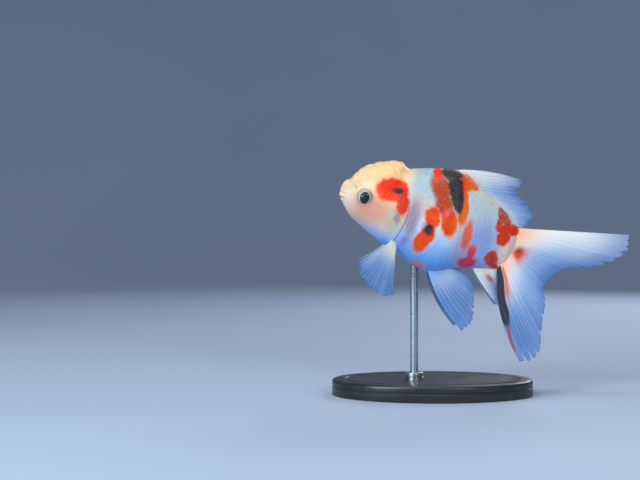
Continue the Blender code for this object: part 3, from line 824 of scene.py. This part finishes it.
def throat_and_tail_relief(x, y, z):
    """Folds under the throat beside the midline, and the creases where the stalk bends into the tail."""
    under = ramp(-z, 0.06, 0.10) * ramp(x, 0.06, 0.10) * (1 - ramp(x, 0.29, 0.33))
    fold = bell(np.abs(y) - 0.020 - 0.10 * np.clip(x - 0.1, 0, 1), 0.0045) * under
    crease = bell(x - 0.968 + 0.15 * z, 0.0045) + 0.5 * bell(x - 0.948 + 0.2 * z, 0.004)
    crease = crease * (1 - ramp(z, 0.02, 0.06))
    # The second value is painted shade in the throat folds and the tail creases.
    return -THROAT_FOLD_DEPTH * fold - TAIL_CREASE_DEPTH * crease, 0.2 * fold + 0.3 * crease


def skin_surface():
    """The whole skin as rings by sides: the body moved along its normals by the sum of the reliefs."""
    head = np.linspace(0, HEAD_RINGS_END_AT, HEAD_RINGS, endpoint=False)
    share = np.append(head, np.linspace(HEAD_RINGS_END_AT, 1, TRUNK_RINGS))
    angle = np.linspace(-math.pi, math.pi, BODY_SIDES, endpoint=False)
    share, angle = np.meshgrid(share, angle, indexing="ij")
    points = body_at(share, angle)
    scaled = ramp(points[..., 0], 0.31, 0.37)
    depth = SKIN_DEPTH_ON_HEAD + (SKIN_DEPTH_UNDER_SCALES - SKIN_DEPTH_ON_HEAD) * scaled
    raised, hooded = hood_relief(points, angle)
    # Each relief also gives painted shade for its grooves and folds; the darkest is kept.
    painted_crease_shade = np.zeros_like(raised)
    for relief in (mouth_relief, nostril_relief, eye_relief, gill_relief, throat_and_tail_relief):
        more, darker = relief(*np.moveaxis(points, -1, 0))
        raised = raised + more
        painted_crease_shade = np.maximum(painted_crease_shade, darker)
    return points + body_normals(share, angle) * (raised - depth)[..., None], hooded, painted_crease_shade


def build_skin(finish):
    """One skin over the head, trunk and tail stalk."""
    rings, hooded, painted_crease_shade = skin_surface()
    # The crease mark carries the painted shade of the folds and grooves.
    marks = {"hooded": hooded, "crease": np.clip(painted_crease_shade, 0, 1)}
    marks = {name: np.append(values.ravel(), (0, 0)) for name, values in marks.items()}
    skin = add_piece("skin", tube(placed(rings)), finish, marks)
    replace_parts(skin, "head", "lower_jaw", "hood", "gill_cover_left", "gill_cover_right")
    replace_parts(skin, "trunk_front", "trunk_rear", "tail_stalk")


# --- the scales ---


def scale_roots(rng):
    """The middles of the scales: courses along the body, each second one turned by half a scale, none ahead
    of the gill edge or under the hood."""
    shares, x = section_rows()[:, :2].T
    courses = np.linspace(*np.interp((SCALES_FROM_X, SCALES_TO_X), x, shares), SCALE_COURSES)
    k = np.arange(SCALES_ROUND)[None, :] + 0.25 + 0.5 * (np.arange(SCALE_COURSES) % 2)[:, None]
    angle = k / SCALES_ROUND * TURN - math.pi
    share = np.broadcast_to(courses[:, None], angle.shape)
    points = body_at(share, angle)
    behind_gill = points[..., 0] > smooth(GILL_EDGE, points[..., 2])[..., 0] - 0.002
    kept = behind_gill & (hood_relief(points, angle)[1] < 0.05)
    size = rng.uniform(0.96, 1.04, angle.shape)
    pearl = rng.uniform(0.0, 1.0, angle.shape) ** 3
    return share[kept], angle[kept], size[kept], pearl[kept], courses[1] - courses[0]


def scale_template():
    """A square grid bent to a disc, with the faces of its top and of its underside, which share the rim."""
    side = SCALE_CELLS + 1
    a, b = np.meshgrid(*[np.linspace(-1, 1, side)] * 2, indexing="ij")
    p, q = a * np.sqrt(1 - b * b / 2), b * np.sqrt(1 - a * a / 2)
    top = grid_quads(side, side, False)[0]
    inner = ((np.abs(a) < 1) & (np.abs(b) < 1)).ravel()
    under_number = np.arange(side * side)
    under_number[inner] = side * side + np.arange(inner.sum())
    return p.ravel(), q.ravel(), inner, top, under_number[top][:, ::-1]


def build_scales(finish):
    """Overlapping scales: thin domed plates that follow the body, each with its root sunk, its free edge
    raised over the next course, and a small patch at its root's place on the skin's unwrap."""
    share, angle, size, pearl, course = scale_roots(np.random.default_rng(7))
    p, q, inner, top, under = scale_template()
    half_length = size[:, None] * SCALE_HALF_LENGTH * course
    half_turn = size[:, None] * SCALE_HALF_WIDTH * TURN / SCALES_ROUND
    spread = share[:, None] + half_length * p, angle[:, None] + half_turn * q
    surface, outward = body_at(*spread), body_normals(*spread)
    off = np.hypot(p, q)
    base = SCALE_SUNK + (SCALE_RAISED - SCALE_SUNK) * (p + 1) / 2 * size[:, None]
    upper = surface + outward * (base + SCALE_THICKNESS * (1 - off**2))[..., None]
    lower = (surface + outward * base[..., None])[:, inner]
    corners = placed(np.concatenate([upper, lower], axis=1))
    rim = np.where(p > -0.2, off, 0.25 * off) * ramp(p, -0.6, 0.2)
    rim = np.append(rim, rim[inner])
    patch = SCALE_PATCH / 2 * np.stack([p, q], axis=-1)
    for side, chosen in (("left", angle < 0), ("right", angle >= 0)):
        count, each = chosen.sum(), corners.shape[1]
        start = (np.arange(count) * each)[:, None, None]
        quads = np.concatenate([(faces + start).reshape(-1, 4) for faces in (top, under)])
        root = np.stack([0.01 + 0.98 * share[chosen], 0.5 + angle[chosen] / TURN], axis=-1)
        root = root[:, None, None]
        underneath = root + (0.0, SCALE_PATCH * 1.3) + patch[top][:, ::-1]
        places = np.concatenate([(root + patch[top]).reshape(-1, 4, 2), underneath.reshape(-1, 4, 2)])
        marks = {"rim": np.tile(rim, count), "pearl": np.repeat(pearl[chosen], each)}
        shape = corners[chosen].reshape(-1, 3), [quads], [places]
        add_piece(f"scales_{side}", shape, finish, marks, crisp=45)


# --- the fins ---


def fin_middle(fin, across, along, side):
    """A fin's middle surface, with the rays' lengths and the shares along them. A point is its ray's root
    plus a step that turns by the curl. Ripples grow as the square of the share along."""
    keyed = np.column_stack([np.linspace(0, 1, len(fin.rays)), fin.rays])
    angle, length, curl, lean = np.moveaxis(smooth(keyed, across), -1, 0)
    s = along(length)
    start, end = np.array(fin.root)
    root = start + (end - start) * across[..., None]
    turned_to, lean = np.radians(angle + curl * s), np.radians(lean)
    x = root[..., 0] + length * s * np.cos(turned_to) * np.cos(lean)
    y = root[..., 1] + length * s * np.sin(lean)
    z = root[..., 2] - length * s * np.sin(turned_to) * np.cos(lean)
    y = y + fin.ripple * np.sin(TURN * fin.waves * across) * s**2
    return np.stack([x, side * y, z], axis=-1), length, s


def sheet(low, high):
    """A closed sheet between two grids of points: one grid that turns over at their last column, with strips
    along its open edges."""
    columns, rows = low.shape[:2]
    quads, places = grid_quads(2 * columns, rows, False)
    number = np.arange(2 * columns * rows).reshape(2 * columns, rows)
    strips = [np.stack([number[-1, :-1], number[-1, 1:], number[0, 1:], number[0, :-1]], axis=1)]
    for end, order in ((0, 1), (-1, -1)):
        near, far = number[:columns, end], number[columns:, end][::-1]
        strip = np.stack([near[1:], near[:-1], far[:-1], far[1:]], axis=1)
        strips.append(strip[:, ::order])
    strips = np.concatenate(strips)
    spot = np.linspace(0, 0.98, len(strips))[:, None, None]
    strip_places = spot * (1.0, 0.0) + np.array([[0.0, 0.985], [0.004, 0.985], [0.004, 0.999], [0.0, 0.999]])
    faces = np.concatenate([quads, strips])
    face_places = np.concatenate([places * (1.0, 0.97) + (0.0, 0.005), strip_places])
    return placed(np.concatenate([low, high[::-1]]).reshape(-1, 3)), [faces], [face_places]


def no_stripe(across, s):
    """A fin's dark and warm marks where it has none."""
    return 0 * s, 0 * s


def build_fin(name, fin, side, finish, stripe=no_stripe):
    """A fin as one closed sheet: its middle surface, pleated, thickened by the web, by ridges that split in
    two and in four, and by the flesh at its root. Ray tips reach its full length, the web a little less."""
    rng = np.random.default_rng(len(name))
    count = fin.count
    across = np.linspace(0, 1, count * SAMPLES_PER_RAY + 1)[:, None]
    rows = np.concatenate([[-1.0, -0.5], np.linspace(0, 1, fin.rows)])[None, :]
    cell = across * count % 1.0 - 0.5
    gap = np.rint(across * count).astype(int)
    split_depth = rng.uniform(0.0, 1.0, count + 1) ** 2
    split_depth[[0, -1]] = 0
    notch = fin.notch * (2 * np.abs(cell)) ** 3 * (0 < gap) * (gap < count)
    split = fin.split * split_depth[gap] * bell(np.abs(cell) - 0.5, 0.13)
    uneven = EDGE_DRIFT * np.sin(TURN * 5.3 * across) * (fin.split / 0.1)
    reach = 1 - notch - split - np.abs(uneven)

    def along(length):
        return np.where(rows < 0, rows * FIN_EMBED / length, rows * reach)

    middle, length, s = fin_middle(fin, np.broadcast_to(across, (across.size, rows.size)), along, side)
    normal = np.cross(np.gradient(middle, axis=0), np.gradient(middle, axis=1))
    normal /= np.linalg.norm(normal, axis=-1, keepdims=True)
    s = np.clip(s, 0, 1)
    once = np.abs(np.abs(cell) - 0.25 * ramp(s, 0.28, 0.60))
    twice = np.abs(once - 0.125 * ramp(s, 0.60, 0.86))
    ridge = bell(twice, 0.115 - 0.065 * s)
    ray = RAY_AT_ROOT + (RAY_AT_TIP - RAY_AT_ROOT) * s
    flesh, flesh_reach = fin.flesh
    fleshy = flesh * bell(s * length, flesh_reach)
    half = MEMBRANE + (ray - MEMBRANE) * ridge + fleshy
    half *= 1 - 0.7 * bell(np.minimum(across, 1 - across) * count, 0.22)
    pleat = PLEAT * np.cos(TURN * count * across) * ramp(s, 0.05, 0.5)
    middle = middle + normal * pleat[..., None]
    low, high = middle - normal * half[..., None], middle + normal * half[..., None]

    dark, warm = stripe(across + 0 * s, s)
    strength = rng.uniform(0.35, 1.0, count)[np.minimum((across * count).astype(int), count - 1)]
    ray = np.maximum(ridge * strength, np.clip(fleshy / flesh, 0, 1))
    pale = fin.pale * (1 - ramp(across, 0.02, 0.32)) + 0 * s
    marks = {"ray": ray, "pale": pale, "reach": s, "dark": dark, "warm": warm}
    marks = {key: np.concatenate([values, values[::-1]]).ravel() for key, values in marks.items()}
    return add_piece(name, sheet(low, high), finish, marks)


def blot(across, s, middle, reach, width):
    """A soft spot on a fin: a bell over the distance from its middle, in shares of its reach."""
    return bell(np.hypot((across - middle[0]) / reach[0], (s - middle[1]) / reach[1]), width)


def tail_stripe(across, s):
    """A black stripe down the front of the left tail's lower lobe, which narrows to a brown line, with an
    orange band and a spot behind it: bands across the rays, whose edges drift along them."""
    front = 1.01 - 0.020 * ramp(s, 0.50, 0.66)
    rear = 0.908 + 0.034 * ramp(s, 0.15, 0.40) + 0.022 * ramp(s, 0.50, 0.66)
    stripe = ramp(across, rear - 0.008, rear + 0.004) * (1 - ramp(across, front - 0.002, front + 0.008))
    dark = stripe * ramp(s, 0.045, 0.075) * (1 - ramp(s, 0.62, 0.67))
    thin = bell(across - 0.972 - 0.10 * (s - 0.62), 0.011) * ramp(s, 0.60, 0.65) * (1 - ramp(s, 0.86, 0.94))
    band = 0.8 * bell(across - rear + 0.026, 0.030) * ramp(s, 0.06, 0.12) * (1 - ramp(s, 0.32, 0.44))
    spot = 1.2 * blot(across, s, (0.47, 0.29), (0.115, 0.14), 0.9)
    spot_middle = 0.7 * blot(across, s, (0.43, 0.265), (0.055, 0.055), 0.9)
    dark = np.maximum(np.maximum(dark, 0.6 * thin), spot_middle)
    return dark, np.clip(np.maximum(np.maximum(band, 0.6 * thin), spot), 0, 1)


def anal_stripe(across, s):
    """A small brown streak among the middle rays."""
    streak = blot(across, s, (0.42, 0.36), (0.13, 0.14), 0.8)
    return 0.45 * streak, 0.8 * streak


def build_fins(finish):
    """One dorsal fin, and on each side a tail fin of two lobes, an anal, a pelvic and a pectoral fin."""
    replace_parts(build_fin("dorsal", DORSAL_FIN, 1, finish), "dorsal_fin")
    for side, sign, tail_fin in (("left", -1, TAIL_FIN), ("right", 1, RIGHT_TAIL_FIN)):
        stripes = (tail_stripe, anal_stripe) if side == "left" else (no_stripe, no_stripe)
        tail = build_fin(f"tail_{side}", tail_fin, sign, finish, stripes[0])
        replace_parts(tail, f"tail_fin_upper_{side}", f"tail_fin_lower_{side}")
        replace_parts(build_fin(f"anal_{side}", ANAL_FIN, sign, finish, stripes[1]), f"anal_fin_{side}")
        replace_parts(build_fin(f"pelvic_{side}", PELVIC_FIN, sign, finish), f"pelvic_fin_{side}")
        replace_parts(build_fin(f"pectoral_{side}", PECTORAL_FIN, sign, finish), f"pectoral_fin_{side}")


# --- the eyes ---


def eye_rings(side, inset, polar):
    """A flattened ball as rings round its outward axis, taken in by an inset."""
    half_width = np.interp(EYE_CENTRE[0], *np.transpose(BODY_SECTIONS)[[0, 3]])
    out = half_width + EYE_PROTRUSION - EYE_RADIUS * EYE_FLATNESS
    turn = all_round(96)
    wide, deep = EYE_RADIUS - inset, EYE_RADIUS * EYE_FLATNESS - inset
    x = EYE_CENTRE[0] + wide * np.sin(polar) * np.cos(turn)
    y = side * (out + deep * np.cos(polar)) + 0 * turn
    z = EYE_CENTRE[1] + wide * np.sin(polar) * np.sin(turn)
    return np.stack([x, y, z], axis=-1)


def build_eyes(iris):
    """Each eye: a ball that carries the iris, hollowed round the pupil, under a clear cornea."""
    cornea = new_finish("eye_cornea", Roughness=0.02, IOR=1.34, Transmission_Weight=1.0)[0]
    polar = np.linspace(0.02, math.pi - 0.02, 60)[:, None]
    for side, sign in (("left", -1), ("right", 1)):
        ball = eye_rings(sign, EYE_INSET, polar)
        off = np.linalg.norm((ball[..., [0, 2]] - PUPIL_MIDDLE) / PUPIL, axis=-1)
        hollow = PUPIL_HOLLOW * (1 - ramp(off, 0.80, 1.05)) - PUPIL_RIM * bell(off - 1.12, 0.10)
        ball[..., 1] -= sign * hollow * (np.cos(polar) > 0)
        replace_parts(add_piece(f"iris_{side}", tube(placed(ball)), iris), f"eye_{side}")
        shell = eye_rings(sign, 0.0, polar)
        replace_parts(add_piece(f"cornea_{side}", tube(placed(shell)), cornea), f"eye_{side}")


# --- the stand ---


def turned(profile, middle, radii, sides):
    """A profile of (inset, height) in metres carried round an oval, whose radii each lose the inset."""
    inset, height = (column[:, None] for column in np.transpose(profile))
    turn = all_round(sides)
    x = middle[0] + (radii[0] - inset) * np.cos(turn)
    y = middle[1] + (radii[1] - inset) * np.sin(turn)
    return tube(np.stack([x, y, height + 0 * turn], axis=-1))


def corner_arc(inset, height, radius, start, stop, steps=5):
    """A rounded corner's points: an arc about (inset, height) between two angles, in degrees."""
    turn = np.radians(np.linspace(start, stop, steps))
    return [(inset - radius * math.cos(t), height + radius * math.sin(t)) for t in turn]


def upright(name):
    """A stand solid's middle and its radii seen from above, and its top."""
    low, high = map(np.array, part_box(f"stand_{name}"))
    return ((low + high) / 2)[:2], ((high - low) / 2)[:2], high[2]


def build_stand(lacquer, steel):
    """An oval base with a rounded edge and a fine bead, and a steel rod in a turned collar."""
    (middle, oval, top), (centre, collar, rim), (_, rod, tip) = map(upright, ("base", "collar", "rod"))
    edge, foot, seat, bead = 0.0015, 0.0006, top - 0.0002, 0.0004
    base_profile = [
        (foot + 0.0010, 0.0),
        *corner_arc(foot, foot, foot, -90, 0),
        *((0.0, 0.0040), (0.0003, 0.0043), (0.0003, 0.0047), (0.0, 0.0050)),
        *corner_arc(edge, top - edge, edge, 0, 90, 8),
        *((0.0060, top), (0.0063, top - bead), (0.0070, top - bead), (0.0073, top)),
        (oval[1] * 0.9, top),
    ]
    collar_profile = [
        *((0.0, seat), (0.0, seat + 0.0010), (bead, seat + 0.0012), (bead, seat + 0.0016)),
        (0.0, seat + 0.0018),
        *corner_arc(0.0006, rim - 0.0006, 0.0006, 0, 90, 6),
        *((collar[0] - 0.0021, rim), (collar[0] - 0.0019, rim - 0.0003)),
    ]
    ring = ((0.0, tip - 0.0062), (-0.0003, tip - 0.0058), (-0.0003, tip - 0.0050), (0.0, tip - 0.0046))
    rod_profile = [(0.0, top), *ring, (0.0, tip + 0.0015)]
    for name, shape, finish, slot, crisp in (
        ("base", turned(base_profile, middle, oval, 180), lacquer, "stand_paint", 32),
        ("collar", turned(collar_profile, centre, collar, 72), steel, "stand_steel", 35),
        ("rod", turned(rod_profile, centre, rod, 48), steel, "stand_steel", 35),
    ):
        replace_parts(add_piece(name, shape, finish, crisp=crisp), f"stand_{name}")


# --- the room ---

FLOOR_RADIUS = 1.3
FLOOR_CURVE = 1.0
CAMERA_PLACE = (-0.056, -0.55, 0.077)
AIM = (0.01, 0.0, 0.08)

# Each lamp is a soft square one, as (name, place, size, power, colour).
LAMPS = (
    ("key", (-0.42, -0.62, 0.62), 0.35, 3.1, (1.0, 0.96, 0.87)),
    ("top", (-0.02, -0.05, 1.00), 0.40, 2.5, (1.0, 0.96, 0.88)),
    ("fill", (0.34, -0.74, 0.36), 0.17, 1.6, (0.97, 0.96, 0.93)),
    ("low", (-0.56, -0.60, 0.24), 0.34, 3.9, (0.60, 0.86, 1.0)),
    ("rim", (0.45, 0.80, 0.55), 0.50, 3.4, (0.95, 0.96, 0.97)),
)
ROOM_LIGHT = ((0.68, 0.73, 0.80, 1.0), 0.34)


def build_floor():
    """A pale blue-grey floor: a flat disc, then a quarter circle turned about the upright axis."""
    finish, tree = new_finish("pale_floor", Roughness=0.85, Specular_IOR_Level=0.2)
    cloud = noise(object_place(tree), 1.5, 2.0)
    colour = mixed(ease(cloud, 0.3, 0.7), "A6B6D0", "AEBDD6")
    tree.links.new(colour, tree.nodes["Principled BSDF"].inputs["Base Color"])
    bend = np.radians(np.linspace(0, 90, 25))[1:]
    radius = np.append(np.linspace(0.01, FLOOR_RADIUS, 12), FLOOR_RADIUS + FLOOR_CURVE * np.sin(bend))
    height = np.append(np.zeros(12), FLOOR_CURVE * (1 - np.cos(bend)))[:, None]
    turn = all_round(96)
    x, y = np.outer(radius, np.cos(turn)), np.outer(radius, np.sin(turn))
    outline = np.stack([x, y, height + 0 * turn], axis=-1)
    quads = grid_quads(*outline.shape[:2], True)[0].tolist()
    mesh = bpy.data.meshes.new("floor")
    mesh.from_pydata(outline.reshape(-1, 3).tolist(), [], [*quads, range(turn.size)[::-1]])
    mesh.materials.append(finish)
    mesh.shade_smooth()
    into_scene("floor", mesh)


def build_lights():
    """The lamps, all facing the fish, and an even light from all round."""
    for name, place, size, power, colour in LAMPS:
        lamp = bpy.data.lights.new(name, "AREA")
        lamp.size, lamp.energy, lamp.color = size, power, colour
        held = into_scene(name, lamp)
        held.location = place
        held.rotation_euler = (mathutils.Vector(AIM) - held.location).to_track_quat("-Z", "Y").to_euler()
    world = bpy.data.worlds.new("soft_room")
    bpy.context.scene.world = world
    world.use_nodes = True
    background = world.node_tree.nodes["Background"].inputs
    background["Color"].default_value, background["Strength"].default_value = ROOM_LIGHT


def build_camera():
    """Level with the fish and square to its left side, a little over half a metre away."""
    camera = bpy.data.cameras.new("camera")
    camera.lens, camera.sensor_width, camera.clip_start = 62, 36, 0.01
    held = into_scene("camera", camera)
    held.location = CAMERA_PLACE
    held.rotation_euler = (math.radians(90), 0, 0)
    bpy.context.scene.camera = held
    bpy.context.scene.view_settings.view_transform = "Standard"


build_camera()
calico = markings_group()
build_skin(skin_finish(calico))
build_scales(scale_finish(calico))
build_fins(fin_finish(calico))
build_eyes(iris_finish())
build_stand(lacquer_finish(), steel_finish())
build_floor()
build_lights()
